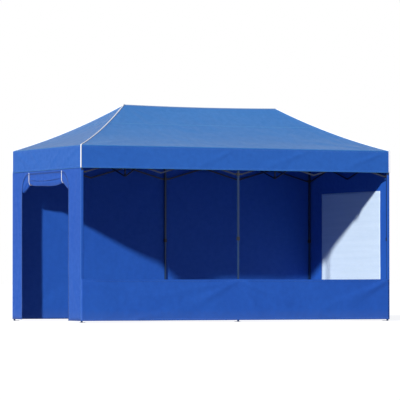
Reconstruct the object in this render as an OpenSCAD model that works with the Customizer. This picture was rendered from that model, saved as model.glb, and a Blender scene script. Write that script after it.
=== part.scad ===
// Pop up gazebo, 3 x 6 m: folding scissor frame on six telescopic legs, hip
// roof cover with a valance, a front half wall, a back wall, a door wall with
// its door rolled up and a wall with a mesh window. Millimetres, +Z up, the
// long open front faces -Y, origin on the ground under the middle of the roof.

/* [Overall] */
// Distance between neighbouring legs, centre to centre
bay = 2960; // [2400:10:3600]
// Height of the eave fold of the cover above the ground
eave_height = 3010; // [2500:10:3650]
// Height of the ridge above the eave
roof_rise = 790; // [500:10:1000]
// How far the ridge runs past each roof mast
ridge_past = 20; // [10:1:60]

/* [Legs] */
// Width of the square outer leg tube
leg_size = 32; // [28:1:40]
// Width of the square inner leg tube
inner_size = 26; // [20:1:27]
// Tube wall thickness
tube_wall = 1.5; // [1:0.1:2]
// Height of the underside of the leg lock
lock_height = 1410; // [1000:10:1500]
// Length of the leg lock
lock_length = 60; // [40:1:90]
// Length of inner leg held inside the outer leg
leg_overlap = 260; // [120:10:400]
// Width of the sleeves, sliders and locks
collar_size = 44; // [40:1:46]
// Side of the foot plate
foot_size = 80; // [60:1:100]
// Thickness of the foot plate
foot_plate = 5; // [3:0.5:8]
// Radius of the peg holes in the foot plate
peg_hole = 5.5; // [4:0.5:7]

/* [Truss] */
// Height between the upper and lower truss pivots
truss_depth = 404; // [300:1:500]
// Distance of a truss pivot from its leg axis
ear = 70; // [60:1:90]
// Height of a truss bar
bar_h = 24; // [18:1:28]
// Thickness of a truss bar
bar_t = 12; // [8:0.5:12]
// Wall thickness of a truss bar
bar_wall = 1.2; // [1:0.1:2]
// Radius of a pivot pin
pin_r = 4; // [3:0.1:5]
// Radial clearance of a pivot pin
pin_gap = 0.3; // [0.2:0.05:0.5]
// Width of a square roof mast
mast_size = 22; // [18:1:28]

/* [Cover] */
// Distance from the leg axes to the outside of the valance
margin = 28; // [27:0.5:34]
// Height of the valance
valance = 385; // [250:5:450]
// Thickness of the roof sheet, measured upright
roof_t = 3; // [2:0.5:4]
// Share of the slope at which the roof sags most
sag_at = 0.45; // [0.3:0.05:0.6]
// Share of the rise reached there
sag_rise = 0.37; // [0.3:0.01:0.5]

/* [Walls] */
// Wall cloth thickness
wall_t = 2; // [1:0.5:3]
// Gap between the walls and the ground
wall_gap = 28; // [10:1:60]
// Height of the top edge of the full walls below the eave
wall_top_drop = 130; // [60:5:250]
// Height of the top edge of the front half wall
half_wall = 732; // [500:1:1100]
// Width of the doorway
door_width = 2050; // [900:10:2300]
// Height of the top of the doorway below the eave
door_drop = 440; // [400:5:900]
// Shift of the doorway towards the back
door_shift = 47; // [-200:1:200]
// Radius of the upper corners of the doorway
door_round = 300; // [50:5:400]
// Half thickness of the rolled up door
roll_r = 32; // [25:1:40]
// Height of the rolled up door
roll_h = 180; // [100:5:240]
// Width of the mesh window
window_width = 2160; // [900:10:2300]
// Underside of the mesh window
window_low = 620; // [400:10:1200]
// Height of the top of the mesh window below the eave
window_drop = 725; // [500:5:1200]
// Shift of the window towards the back
window_shift = -68; // [-200:1:200]

/* [Hidden] */
$fn = 32;
half_x = bay;
half_y = bay / 2;
out_x = half_x + margin;
out_y = half_y + margin;
ridge_z = eave_height + roof_rise;
ridge_length = bay + 2 * ridge_past;
door_top = eave_height - door_drop;
window_high = eave_height - window_drop;
z_top = eave_height - 50;
z_low = z_top - truss_depth;
span = half_y - ear;
bar_len = sqrt(span * span + truss_depth * truss_depth);
pitch = atan2(truss_depth, span);
lane = 8;
tongue = 3;
head_r = 6.5;
washer_r = 9;
connector_reach = 34;
hub_reach = ear - connector_reach;
lock_top = lock_height + lock_length;
wall_out = margin - 2.3;
wall_in = wall_out - wall_t;
wall_top = eave_height - wall_top_drop;
run_x = out_x - ridge_length / 2;
slope_y = roof_rise * sag_rise / (out_y * sag_at);
slope_x = roof_rise * sag_rise / (run_x * sag_at);
slope_low = min(slope_x, slope_y);
slope_high = roof_rise * (1 - sag_rise) / (out_y * (1 - sag_at));
hub_half = max(hub_reach - bar_h / 2 - 5, mast_size / 2 + 1);
cap_half = leg_size / 2 + 1;
cap_top = eave_height + slope_low * (margin - cap_half) - roof_t - 0.4;
foot_edge = inner_size / 2 + 0.2;
rod_out = 19;
rod_z = eave_height - 14;

// ---- shared shapes ------------------------------------------------------

module block(x0, x1, y0, y1, z0, z1) {
  translate([x0, y0, z0]) cube([x1 - x0, y1 - y0, z1 - z0]);
}

module square_tube(size, bore, z0, z1) {
  difference() {
    block(-size / 2, size / 2, -size / 2, size / 2, z0, z1);
    block(-bore / 2, bore / 2, -bore / 2, bore / 2, z0 - 1, z1 + 1);
  }
}

// pin along Y from the tongue, to the side given by its sign
module tongue_pin(x, z, side) {
  translate([x, 0, z]) rotate([-90 * side, 0, 0]) {
    cylinder(r = pin_r, h = lane + bar_t / 2 + 1);
    translate([0, 0, lane + bar_t / 2 + 0.4]) cylinder(r = head_r, h = 2.5);
  }
}

// flat tongue along +X that carries one bar on the side given
module ear_tongue(reach, start, z, side) {
  block(start, reach + 11, -tongue / 2, tongue / 2, z - 13, z + 13);
  tongue_pin(reach, z, side);
}

// ---- truss bars ---------------------------------------------------------

// stud that joins a bar to the one in the other lane
module bar_stud(x, side) {
  translate([x, side * (lane - bar_t / 2), 0]) rotate([90 * side, 0, 0]) {
    translate([0, 0, -0.5]) cylinder(r = washer_r, h = 4.1);
    cylinder(r = pin_r, h = 2 * lane + 1);
    translate([0, 0, 2 * lane + 0.4]) cylinder(r = head_r, h = 2.5);
  }
}

// bar along +X in one lane; studs lists where it carries a stud: start, middle, end
module bar(side, studs) {
  at = [0, bar_len / 2, bar_len];
  y = side * lane;
  difference() {
    union() {
      block(0, bar_len, y - bar_t / 2, y + bar_t / 2, -bar_h / 2, bar_h / 2);
      for (x = [0, bar_len]) translate([x, y, 0]) rotate([90, 0, 0])
        cylinder(r = bar_h / 2, h = bar_t, center = true);
    }
    block(30, bar_len / 2 - 20, y - bar_t / 2 + bar_wall, y + bar_t / 2 - bar_wall,
      -bar_h / 2 + bar_wall, bar_h / 2 - bar_wall);
    block(bar_len / 2 + 20, bar_len - 30, y - bar_t / 2 + bar_wall,
      y + bar_t / 2 - bar_wall, -bar_h / 2 + bar_wall, bar_h / 2 - bar_wall);
    for (x = [bar_len * 0.2, bar_len * 0.8]) translate([x, y, 0])
      rotate([-90 * side, 0, 0]) cylinder(r = 3, h = bar_t);
    for (i = [0:2]) if (!studs[i]) translate([at[i], y, 0]) rotate([90, 0, 0])
      cylinder(r = pin_r + pin_gap, h = bar_t + 2, center = true);
  }
  for (i = [0:2]) if (studs[i]) bar_stud(at[i], side);
}

// bar that starts high and runs down along the direction turn
module high_bar(x, y, turn, start, studs) {
  translate([x, y, z_top]) rotate([0, 0, turn]) translate([start, 0, 0])
    rotate([0, pitch, 0]) bar(-1, studs);
}

// bar that starts low and runs up along the direction turn
module low_bar(x, y, turn, start, studs) {
  translate([x, y, z_low]) rotate([0, 0, turn]) translate([start, 0, 0])
    rotate([0, -pitch, 0]) bar(1, studs);
}

// ---- legs ---------------------------------------------------------------

// small rod beside the leg top that an eave tab loops round
module eave_rod(turn, out) {
  rotate([0, 0, turn]) {
    block(12, 26, min(out * 12, out * 22), max(out * 12, out * 22), z_top + 22, rod_z + 4);
    translate([20, out * rod_out, rod_z]) rotate([0, 90, 0]) cylinder(r = 1.6, h = 42);
  }
}

// outer leg with top sleeve, leg lock and one ear for each truss direction
module outer_leg(x, y, turns, button) {
  color("silver") translate([x, y, 0]) {
    difference() {
      union() {
        block(-leg_size / 2, leg_size / 2, -leg_size / 2, leg_size / 2, lock_height + 5, z_top + 28);
        block(-collar_size / 2, collar_size / 2, -collar_size / 2, collar_size / 2,
          z_top - 30, z_top + 26);
        block(-cap_half, cap_half, -cap_half, cap_half, z_top + 20, cap_top);
        block(-collar_size / 2, collar_size / 2, -collar_size / 2, collar_size / 2,
          lock_height, lock_top);
      }
      bore = leg_size / 2 - tube_wall;
      block(-bore, bore, -bore, bore, lock_top - 15, z_top + 10);
      slot = inner_size / 2 + 0.4;
      block(-slot, slot, -slot, slot, lock_height - 1, lock_top);
    }
    rotate([0, 0, button]) translate([collar_size / 2 - 1, 0, lock_height + lock_length * 0.45])
      rotate([0, 90, 0]) cylinder(r = 9, h = 9);
    for (t = turns) rotate([0, 0, t]) ear_tongue(ear, leg_size / 2, z_top, -1);
  }
}

// collar that slides on the outer leg and carries the lower truss bars
module slider(x, y, turns) {
  color("dimgray") translate([x, y, 0]) {
    difference() {
      block(-collar_size / 2, collar_size / 2, -collar_size / 2, collar_size / 2,
        z_low - 25, z_low + 25);
      slot = leg_size / 2 + 0.35;
      block(-slot, slot, -slot, slot, z_low - 30, z_low + 30);
    }
    for (t = turns) rotate([0, 0, t]) ear_tongue(ear, leg_size / 2 + 2, z_low, 1);
  }
}

// inner leg with guide plug and foot plate; the plate grows towards the signs given
module inner_leg(x, y, sx, sy) {
  top = lock_top + leg_overlap - lock_length;
  x0 = sx == 0 ? -foot_size / 2 : sx > 0 ? -foot_edge : foot_edge - foot_size;
  y0 = sy > 0 ? -foot_edge : foot_edge - foot_size;
  color("gainsboro") translate([x, y, 0]) {
    square_tube(inner_size, inner_size - 2 * tube_wall, foot_plate - 1, top);
    square_tube(leg_size - 2 * tube_wall - 0.7, inner_size - 2 * tube_wall, top - 25, top);
    difference() {
      block(x0, x0 + foot_size, y0, y0 + foot_size, 0, foot_plate);
      for (p = sx == 0 ? [[-28, sy * 42], [28, sy * 42]] : [[sx * 50, sy * 10], [sx * 10, sy * 50]])
        translate([p[0], p[1], -1]) cylinder(r = peg_hole, h = foot_plate + 2);
    }
    for (s = [-1, 1]) block(-foot_edge, foot_edge, min(0, sy * 24), max(0, sy * 24), 0, foot_plate + 3);
  }
}

// ---- roof frame ---------------------------------------------------------

// mid-bay connector: joins two pairs of bars and carries a roof arm inwards
module connector(x, y, turn) {
  color("dimgray") translate([x, y, 0]) rotate([0, 0, turn]) {
    block(-17, connector_reach + 12, -16, 16, z_top + 15, z_top + 30);
    block(-tongue / 2, tongue / 2, -11, 11, z_top - 11, z_top + 16);
    block(connector_reach - 11, connector_reach + 11, -tongue / 2, tongue / 2, z_top - 11, z_top + 16);
    tongue_pin(connector_reach, z_top, -1);
    rotate([0, 0, 90]) {
      tongue_pin(0, z_top, 1);
      tongue_pin(0, z_top, -1);
    }
  }
}

// roof arm from a connector down to the roof mast; along is the way it runs
module roof_arm(x, y, along, from_connector) {
  color("silver") {
    if (from_connector) high_bar(x, y, along, connector_reach, [false, true, false]);
    else low_bar(x, y, along, hub_reach, [false, true, false]);
  }
}

// hub that hangs between two roof arms, with the mast that lifts the ridge
module roof_mast(x) {
  tip = 16;
  tip_z = ridge_z - roof_t - tip * sqrt(1 + slope_high * slope_high) - 0.5;
  color("silver") translate([x, 0, 0]) {
    block(-hub_half, hub_half, -hub_half, hub_half, z_low - 20, z_low + 22);
    square_tube(mast_size, mast_size - 2 * tube_wall, z_low + 20, tip_z - 4);
    for (t = [-90, 90]) rotate([0, 0, t]) ear_tongue(hub_reach, hub_half - 4, z_low, 1);
    difference() {
      translate([0, 0, tip_z]) sphere(r = tip, $fn = 40);
      block(-9, 9, -9, 9, tip_z - 20, tip_z - 4);
    }
  }
}

// webbing tab that ties a roof panel to the frame and turns on its rod
module eave_tab(x, y, turn, out) {
  rise = atan(slope_y);
  color("royalblue") translate([x, y, 0]) rotate([0, 0, turn])
    translate([28, out * rod_out, rod_z]) rotate([0, 0, 0]) {
      difference() {
        union() {
          rotate([0, 90, 0]) cylinder(r = 3.2, h = 30);
          rotate([-out * rise, 0, 0])
            block(0, 30, min(0, -out * 19), max(0, -out * 19), -0.8, 0.8);
        }
        translate([-1, 0, 0]) rotate([0, 90, 0]) cylinder(r = 2, h = 32);
      }
    }
}

// ---- cover --------------------------------------------------------------

seam = 0.2;
mid_x = out_x - sag_at * run_x;
mid_y = out_y * (1 - sag_at);
mid_z = eave_height + roof_rise * sag_rise;

// four sided roof panel between two level edges, each [half width, depth, height]
module roof_panel(low, high) {
  pts = [[-low[0] + seam, low[1] + seam, low[2]], [low[0] - seam, low[1] + seam, low[2]],
    [high[0] - seam, high[1] - seam, high[2]], [-high[0] + seam, high[1] - seam, high[2]]];
  under = [for (p = pts) [p[0], p[1], p[2] - roof_t]];
  polyhedron(points = concat(pts, under), faces = [[3, 2, 1, 0], [4, 5, 6, 7],
    [0, 1, 5, 4], [1, 2, 6, 5], [2, 3, 7, 6], [3, 0, 4, 7]]);
}

// three sided panel that closes the roof at one end of the ridge
module end_panel() {
  pts = [[-mid_y + seam, -mid_x + seam, mid_z], [mid_y - seam, -mid_x + seam, mid_z],
    [0, -ridge_length / 2 - seam, ridge_z]];
  under = [for (p = pts) [p[0], p[1], p[2] - roof_t]];
  polyhedron(points = concat(pts, under),
    faces = [[2, 1, 0], [3, 4, 5], [0, 1, 4, 3], [1, 2, 5, 4], [2, 0, 3, 5]]);
}

// hip roof of sewn panels with a slack line part of the way up, and the valance
module canopy() {
  color("royalblue") {
    for (t = [0, 180]) rotate([0, 0, t]) {
      roof_panel([out_x, -out_y, eave_height], [mid_x, -mid_y, mid_z]);
      roof_panel([mid_x, -mid_y, mid_z], [ridge_length / 2, 0, ridge_z]);
      block(-out_x, out_x, -out_y, -out_y + 2, eave_height - valance, eave_height - roof_t - 0.3);
    }
    for (t = [90, -90]) rotate([0, 0, t]) {
      roof_panel([out_y, -out_x, eave_height], [mid_y, -mid_x, mid_z]);
      end_panel();
      block(-out_y + 2.3, out_y - 2.3, -out_x, -out_x + 2, eave_height - valance,
        eave_height - roof_t - 0.3);
    }
  }
}

// ---- walls --------------------------------------------------------------

module front_half_wall() {
  y = half_y + wall_out;
  x = half_x + wall_in - 0.3;
  color("royalblue") {
    block(-x, x, -y, -y + wall_t, wall_gap, half_wall);
    for (l = [-half_x, 0, half_x], z = [70, half_wall - 50])
      block(l - 12, l + 12, -y + wall_t - 0.5, -half_y - foot_edge - 0.2, z, z + 35);
  }
}

module back_wall() {
  y = half_y + wall_in;
  x = half_x + wall_in - 0.3;
  color("royalblue") block(-x, x, y, y + wall_t, wall_gap, wall_top);
}

// head of the door wall, rounded over the doorway
module door_head(x0, x1) {
  y = door_width / 2;
  low = door_top - door_round;
  difference() {
    block(x0, x1, -half_y - wall_out, half_y + wall_out, low, wall_top);
    translate([x0 - 1, door_shift, 0]) {
      block(0, x1 - x0 + 2, -y + door_round, y - door_round, low - 1, door_top);
      for (s = [-1, 1]) translate([0, s * (y - door_round), low])
        rotate([0, 90, 0]) cylinder(r = door_round, h = x1 - x0 + 2, $fn = 64);
    }
  }
}

module door_wall() {
  x = half_x + wall_in;
  door_head(-x - wall_t, -x);
  jamb_top = door_top - door_round - 0.3;
  block(-x - wall_t, -x, -half_y - wall_out, door_shift - door_width / 2, wall_gap, jamb_top);
  block(-x - wall_t, -x, door_shift + door_width / 2, half_y + wall_out, wall_gap, jamb_top);
  roll_y = door_width / 2 - 110;
  translate([-x + roll_r + 0.3, door_shift, door_top - 40 - roll_h]) {
    for (z = [roll_r, roll_h / 2, roll_h - roll_r]) translate([0, 0, z])
      rotate([90, 0, 0]) cylinder(r = roll_r, h = 2 * roll_y, center = true);
    block(-roll_r, roll_r, -roll_y, roll_y, roll_r, roll_h - roll_r);
    for (s = [-1, 1])
      block(-roll_r, -roll_r + 2, s * 720 - 15, s * 720 + 15, roll_h - roll_r, roll_h + 70);
  }
}

module window_wall() {
  x = half_x + wall_in;
  y0 = window_shift - window_width / 2;
  y1 = window_shift + window_width / 2;
  difference() {
    block(x, x + wall_t, -half_y - wall_out, half_y + wall_out, wall_gap, wall_top);
    block(x - 1, x + wall_t + 1, y0, y1, window_low, window_high);
  }
  block(x - 1.3, x - 0.3, y0 - 25, y1 + 25, window_low - 25, window_high + 25);
}

module end_walls() {
  color("royalblue") {
    door_wall();
    window_wall();
  }
}

// ---- nodes --------------------------------------------------------------

L = -half_x;
R = half_x;
F = -half_y;
B = half_y;
ML = -half_x / 2;
MR = half_x / 2;
PLAIN = [false, false, false];
MIDDLE = [false, true, false];
MIDDLE_END = [false, true, true];
ENDED = [false, false, true];
STARTED = [true, false, false];

union() {  // front_left_outer_leg
  outer_leg(L, F, [0, 90], 90);
  color("silver") translate([L, F, 0]) eave_rod(90, 1);
}
union() {  // front_mid_outer_leg
  outer_leg(0, F, [0, 180], 90);
  color("silver") translate([0, F, 0]) eave_rod(0, -1);
}
union() {  // front_right_outer_leg
  outer_leg(R, F, [90, 180], 90);
  color("silver") translate([R, F, 0]) eave_rod(90, -1);
}
outer_leg(L, B, [0, -90], -90);  // back_left_outer_leg
union() {  // back_mid_outer_leg
  outer_leg(0, B, [0, 180], -90);
  color("silver") translate([0, B, 0]) eave_rod(0, 1);
}
outer_leg(R, B, [180, -90], -90);  // back_right_outer_leg

slider(L, F, [0, 90]);  // front_left_slider
slider(0, F, [0, 180]);  // front_mid_slider
slider(R, F, [90, 180]);  // front_right_slider
slider(L, B, [0, -90]);  // back_left_slider
slider(0, B, [0, 180]);  // back_mid_slider
slider(R, B, [180, -90]);  // back_right_slider

inner_leg(L, F, 1, 1);  // front_left_inner_leg
inner_leg(0, F, 0, 1);  // front_mid_inner_leg
inner_leg(R, F, -1, 1);  // front_right_inner_leg
inner_leg(L, B, 1, -1);  // back_left_inner_leg
inner_leg(0, B, 0, -1);  // back_mid_inner_leg
inner_leg(R, B, -1, -1);  // back_right_inner_leg

// front row, from the left end: pairs 1 and 2 in the left bay, 3 and 4 in the right
high_bar(ML, F, 180, 0, MIDDLE);  // front_bar_1_high
low_bar(ML, F, 180, 0, STARTED);  // front_bar_1_low
high_bar(0, F, 180, ear, MIDDLE);  // front_bar_2_high
low_bar(0, F, 180, ear, PLAIN);  // front_bar_2_low
high_bar(0, F, 0, ear, MIDDLE);  // front_bar_3_high
low_bar(0, F, 0, ear, PLAIN);  // front_bar_3_low
high_bar(MR, F, 0, 0, MIDDLE);  // front_bar_4_high
low_bar(MR, F, 0, 0, STARTED);  // front_bar_4_low

high_bar(ML, B, 180, 0, MIDDLE);  // back_bar_1_high
low_bar(ML, B, 180, 0, STARTED);  // back_bar_1_low
high_bar(ML, B, 0, 0, MIDDLE);  // back_bar_2_high
low_bar(ML, B, 0, 0, PLAIN);  // back_bar_2_low
high_bar(MR, B, 180, 0, MIDDLE);  // back_bar_3_high
low_bar(MR, B, 180, 0, PLAIN);  // back_bar_3_low
high_bar(MR, B, 0, 0, MIDDLE);  // back_bar_4_high
low_bar(MR, B, 0, 0, STARTED);  // back_bar_4_low

high_bar(L, F, 90, ear, MIDDLE_END);  // left_bar_1_high
low_bar(L, F, 90, ear, ENDED);  // left_bar_1_low
high_bar(L, 0, 90, 0, MIDDLE);  // left_bar_2_high
low_bar(L, 0, 90, 0, PLAIN);  // left_bar_2_low
high_bar(R, F, 90, ear, MIDDLE_END);  // right_bar_1_high
low_bar(R, F, 90, ear, ENDED);  // right_bar_1_low
high_bar(R, 0, 90, 0, MIDDLE);  // right_bar_2_high
low_bar(R, 0, 90, 0, PLAIN);  // right_bar_2_low

connector(ML, F, 90);  // front_left_connector
connector(MR, F, 90);  // front_right_connector
connector(ML, B, -90);  // back_left_connector
connector(MR, B, -90);  // back_right_connector

roof_arm(ML, F, 90, true);  // front_left_roof_arm
roof_arm(MR, F, 90, true);  // front_right_roof_arm
roof_arm(ML, 0, 90, false);  // back_left_roof_arm
roof_arm(MR, 0, 90, false);  // back_right_roof_arm

roof_mast(ML);  // left_roof_mast
roof_mast(MR);  // right_roof_mast

eave_tab(0, F, 0, -1);  // front_eave_tab
eave_tab(0, B, 0, 1);  // back_eave_tab
eave_tab(L, F, 90, 1);  // left_eave_tab
eave_tab(R, F, 90, -1);  // right_eave_tab

canopy();
front_half_wall();
back_wall();
end_walls();
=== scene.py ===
"""Pop up gazebo, 3 x 6 m: cloth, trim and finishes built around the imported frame.

Metres, +Z up. The long open front faces -Y and the doorway is in the -X end.
"""

import logging
import math
from collections.abc import Sequence
from dataclasses import dataclass
from enum import Enum

import bmesh
import bpy
import numpy as np
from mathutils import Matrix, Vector


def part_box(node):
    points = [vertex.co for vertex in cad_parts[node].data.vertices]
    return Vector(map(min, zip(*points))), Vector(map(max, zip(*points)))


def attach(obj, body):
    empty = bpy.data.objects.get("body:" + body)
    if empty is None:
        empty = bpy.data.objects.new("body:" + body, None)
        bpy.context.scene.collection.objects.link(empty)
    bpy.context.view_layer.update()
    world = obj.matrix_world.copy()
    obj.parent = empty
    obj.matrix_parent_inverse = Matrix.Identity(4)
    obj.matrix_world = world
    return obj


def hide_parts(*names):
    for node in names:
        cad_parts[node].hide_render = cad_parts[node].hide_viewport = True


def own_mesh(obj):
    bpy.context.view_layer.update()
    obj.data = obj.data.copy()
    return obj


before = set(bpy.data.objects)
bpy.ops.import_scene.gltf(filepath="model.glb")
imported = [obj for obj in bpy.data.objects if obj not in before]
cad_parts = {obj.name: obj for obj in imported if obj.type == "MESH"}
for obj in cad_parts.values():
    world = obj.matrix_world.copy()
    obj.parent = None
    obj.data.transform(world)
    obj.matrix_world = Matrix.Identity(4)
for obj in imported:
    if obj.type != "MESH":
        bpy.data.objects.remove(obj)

LOG = logging.getLogger("gazebo")
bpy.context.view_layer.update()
# Thickness of the drawn cloth, in metres.
CLOTH = 0.001
UV_NAME = "Cloth"

Points = np.ndarray
Colour = tuple[float, float, float]
Way = np.ndarray | Vector | tuple[float, float, float]
Piece = bpy.types.Object


def join(*parts: Points) -> Points:
    """Joins coordinates into points, with a last axis for them."""
    return np.stack(np.broadcast_arrays(*parts), axis=-1)


# ---- sides and sizes ------------------------------------------------------


class Side(Enum):
    """The four sides of the gazebo, each with the way it faces."""

    FRONT = (0, -1)
    BACK = (0, 1)
    LEFT = (-1, 0)
    RIGHT = (1, 0)

    @property
    def long(self) -> bool:
        """True for the two six metre sides."""
        return self.value[0] == 0

    @property
    def sign(self) -> int:
        """The sign of the way the side faces."""
        return self.value[0] + self.value[1]

    @property
    def word(self) -> str:
        """The side's name in small letters."""
        return self.name.lower()

    @property
    def outward(self) -> Vector:
        """The level unit vector that points away from the gazebo."""
        return Vector((*self.value, 0.0))

    def place(self, along: Points, out: Points, height: Points) -> Points:
        """Turns places on this side into points.

        Args:
            along: distance along the side, growing with x or y.
            out: distance from the middle of the gazebo.
            height: height above the ground.

        Returns:
            The points, with a last axis of three.
        """
        level = (along, self.sign * out) if self.long else (self.sign * out, along)
        return join(*level, height).astype(float)


@dataclass(frozen=True)
class Sizes:
    """Main sizes of the gazebo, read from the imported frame."""

    half_x: float
    half_y: float
    eave: float
    ridge: float
    ridge_half: float
    valance_low: float
    leg_x: float
    leg_y: float
    wall_low: float
    wall_high: float
    wall_x: float
    wall_y: float
    half_wall_high: float

    @classmethod
    def from_frame(cls) -> "Sizes":
        """Reads the boxes of the cloth nodes and of a roof mast.

        Returns:
            The sizes in metres.
        """
        low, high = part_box("canopy")
        mast_low, mast_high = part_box("right_roof_mast")
        half_high, end_high = (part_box(name)[1] for name in ("front_half_wall", "end_walls"))
        back_low, back_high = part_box("back_wall")
        margin, rise, past_mast = 0.028, 0.790, 0.020
        return cls(
            half_x=high.x,
            half_y=high.y,
            eave=high.z - rise,
            ridge=high.z,
            ridge_half=(mast_low.x + mast_high.x) / 2 + past_mast,
            valance_low=low.z,
            leg_x=high.x - margin,
            leg_y=high.y - margin,
            wall_low=back_low.z,
            wall_high=back_high.z,
            wall_x=end_high.x,
            wall_y=back_high.y,
            half_wall_high=half_high.z,
        )

    def half_length(self, side: Side) -> float:
        """Half the length of the cover along a side."""
        return self.half_x if side.long else self.half_y

    def cover_out(self, side: Side) -> float:
        """Distance of the valance from the middle of the gazebo."""
        return self.half_y if side.long else self.half_x


@dataclass(frozen=True)
class Carrier:
    """How a soft piece follows the frame: the body it rides on."""

    body: str
    side: Side | None = None
    row: float = 0.0

    def carry(self, piece: Piece) -> None:
        """Makes a finished piece ride on its body; a piece with a side gets a mesh of its own.

        Args:
            piece: the piece, with its final mesh.
        """
        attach(piece, self.body)
        if self.side is not None and self.side.long:
            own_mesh(piece)
        elif self.side is not None:
            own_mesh(piece)
        LOG.info("%s rides on %s", piece.name, self.body)


# ---- finishes -------------------------------------------------------------


class Recipe:
    """Builds one material's node tree step by step."""

    def __init__(self, name: str) -> None:
        """Starts a material with a shader and its output.

        Args:
            name: the material's name.
        """
        self.material = bpy.data.materials.new(name)
        self.material.use_nodes = True
        self.tree = self.material.node_tree
        self.tree.nodes.clear()
        self.shader = self.tree.nodes.new("ShaderNodeBsdfPrincipled")
        output = self.tree.nodes.new("ShaderNodeOutputMaterial")
        self.tree.links.new(self.shader.outputs[0], output.inputs["Surface"])
        self.coordinates = self.tree.nodes.new("ShaderNodeTexCoord")

    def add(self, kind: str, inputs: dict[str | int, object] | None = None, **settings: object):
        """Adds a node.

        Args:
            kind: the node's type after "ShaderNode".
            inputs: values or sockets for its inputs, by name or place.
            settings: the node's own settings.

        Returns:
            The node.
        """
        node = self.tree.nodes.new("ShaderNode" + kind)
        for key, value in settings.items():
            setattr(node, key, value)
        for key, value in (inputs or {}).items():
            if isinstance(value, bpy.types.NodeSocket):
                self.tree.links.new(value, node.inputs[key])
            else:
                node.inputs[key].default_value = value
        return node

    def math(self, operation: str, first: object, second: object):
        """Adds a Math node and returns its result."""
        return self.add("Math", {0: first, 1: second}, operation=operation).outputs[0]

    def noise(self, where: object, scale: float, detail: float = 3.0, rough: float = 0.5):
        """Adds a Noise Texture and returns its value."""
        inputs = {"Vector": where, "Scale": scale, "Detail": detail, "Roughness": rough}
        return self.add("TexNoise", inputs).outputs[0]

    def streaks(self, where: object, scale: tuple[float, float, float], detail: float):
        """Adds noise with its own scale along each axis and returns its value."""
        stretched = self.add("Mapping", {"Vector": where, "Scale": scale}).outputs[0]
        return self.noise(stretched, 1.0, detail)

    def height(self, where: object):
        """Returns the height of some coordinates."""
        return self.add("SeparateXYZ", {0: where}).outputs["Z"]

    def bands(self, where: object, period: float, direction: str):
        """Adds even bands across one direction and returns their value.

        Args:
            where: the coordinates in metres.
            period: distance from one band to the next, in metres.
            direction: X, Y, Z or DIAGONAL.

        Returns:
            The value socket, from 0 to 1.
        """
        inputs = {"Vector": where, "Scale": math.pi / 10 / period, "Distortion": 0.0}
        node = self.add("TexWave", inputs, bands_direction=direction, wave_profile="SIN")
        return node.outputs["Fac"]

    def weave(self, where: object, period: float, cross: float, direction: str):
        """Adds the mean of bands along X and bands in another direction."""
        warp, weft = self.bands(where, period, "X"), self.bands(where, cross, direction)
        return self.math("MULTIPLY", self.math("ADD", warp, weft), 0.5)

    def spread(self, value: object, low: float, high: float, at: tuple[float, float] = (0.3, 0.7)):
        """Maps a value from the range at to another, without running past its ends."""
        ends = {"From Min": at[0], "From Max": at[1], "To Min": low, "To Max": high}
        return self.add("MapRange", {"Value": value, **ends}, clamp=True).outputs[0]

    def blend(self, share: object, first: object, second: object):
        """Mixes two colours and returns the result."""
        node = self.add("Mix", data_type="RGBA", clamp_factor=True)
        for key, value in ((0, share), (6, first), (7, second)):
            if isinstance(value, bpy.types.NodeSocket):
                self.tree.links.new(value, node.inputs[key])
            elif key == 0:
                node.inputs[key].default_value = value
            else:
                node.inputs[key].default_value = (*value, 1.0)
        return node.outputs[2]

    def bump(self, height: object, strength: float, distance: float, under: object = None):
        """Adds a Bump node on top of another normal and returns its normal."""
        inputs = {"Height": height, "Strength": strength, "Distance": distance}
        if under is not None:
            inputs["Normal"] = under
        return self.add("Bump", inputs).outputs[0]

    def finish(self, colour: object, rough: object, normal: object, **values: float):
        """Joins the parts to the shader.

        Args:
            colour: the base colour's socket.
            rough: the roughness socket.
            normal: the normal's socket.
            values: plain values for the shader's own inputs, with _ for a space.

        Returns:
            The finished material.
        """
        for name, socket in (("Base Color", colour), ("Roughness", rough), ("Normal", normal)):
            self.tree.links.new(socket, self.shader.inputs[name])
        for name, value in values.items():
            self.shader.inputs[name.replace("_", " ")].default_value = value
        return self.material


@dataclass(frozen=True)
class CoatedCloth:
    """Coated polyester cloth: a fine plain weave with a soft satin face."""

    name: str
    colour: Colour
    pale: Colour
    weave: float = 0.0024
    dust: float = 0.0
    veil: float = 0.14
    rough: tuple[float, float] = (0.60, 0.74)
    shade: Colour = (0.0, 0.01, 0.09)
    pits: Colour = (0.0, 0.01, 0.08)
    soil: Colour = (0.20, 0.24, 0.34)

    def make(self) -> bpy.types.Material:
        """Builds the material on the piece's own UV map, in metres."""
        r = Recipe(self.name)
        flat, solid = r.coordinates.outputs["UV"], r.coordinates.outputs["Object"]
        weave = r.weave(flat, self.weave, self.weave, "Y")
        broad = r.noise(flat, 0.9, 2.0)
        patchy = r.noise(flat, 11.0, 4.0, 0.6)
        slub = r.streaks(flat, (6.0, 260.0, 1.0), 2.0)
        colour = r.blend(r.spread(broad, 0.0, 0.5), self.colour, self.pale)
        colour = r.blend(r.spread(patchy, 0.0, 0.10), colour, self.shade)
        colour = r.blend(r.spread(slub, 0.0, 0.08), colour, self.pale)
        # Painted shade: the weave's hollows, where its bump is low, are darkened towards the pit
        # colour.
        colour = r.blend(r.spread(weave, 0.10, 0.0, (0.2, 0.8)), colour, self.pits)
        if self.dust:
            uneven = r.math("ADD", r.height(solid), r.math("MULTIPLY", patchy, -0.12))
            colour = r.blend(r.spread(uneven, self.dust, 0.0, (0.0, 0.16)), colour, self.soil)
        rough = r.spread(patchy, *self.rough)
        crumple = r.noise(flat, 4.0, 3.0, 0.4)
        normal = r.bump(crumple, 0.14, 0.004)
        normal = r.bump(weave, 0.25, 0.0003, normal)
        return r.finish(
            colour, rough, normal, IOR=1.43, Sheen_Weight=self.veil, Sheen_Roughness=0.3
        )


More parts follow.
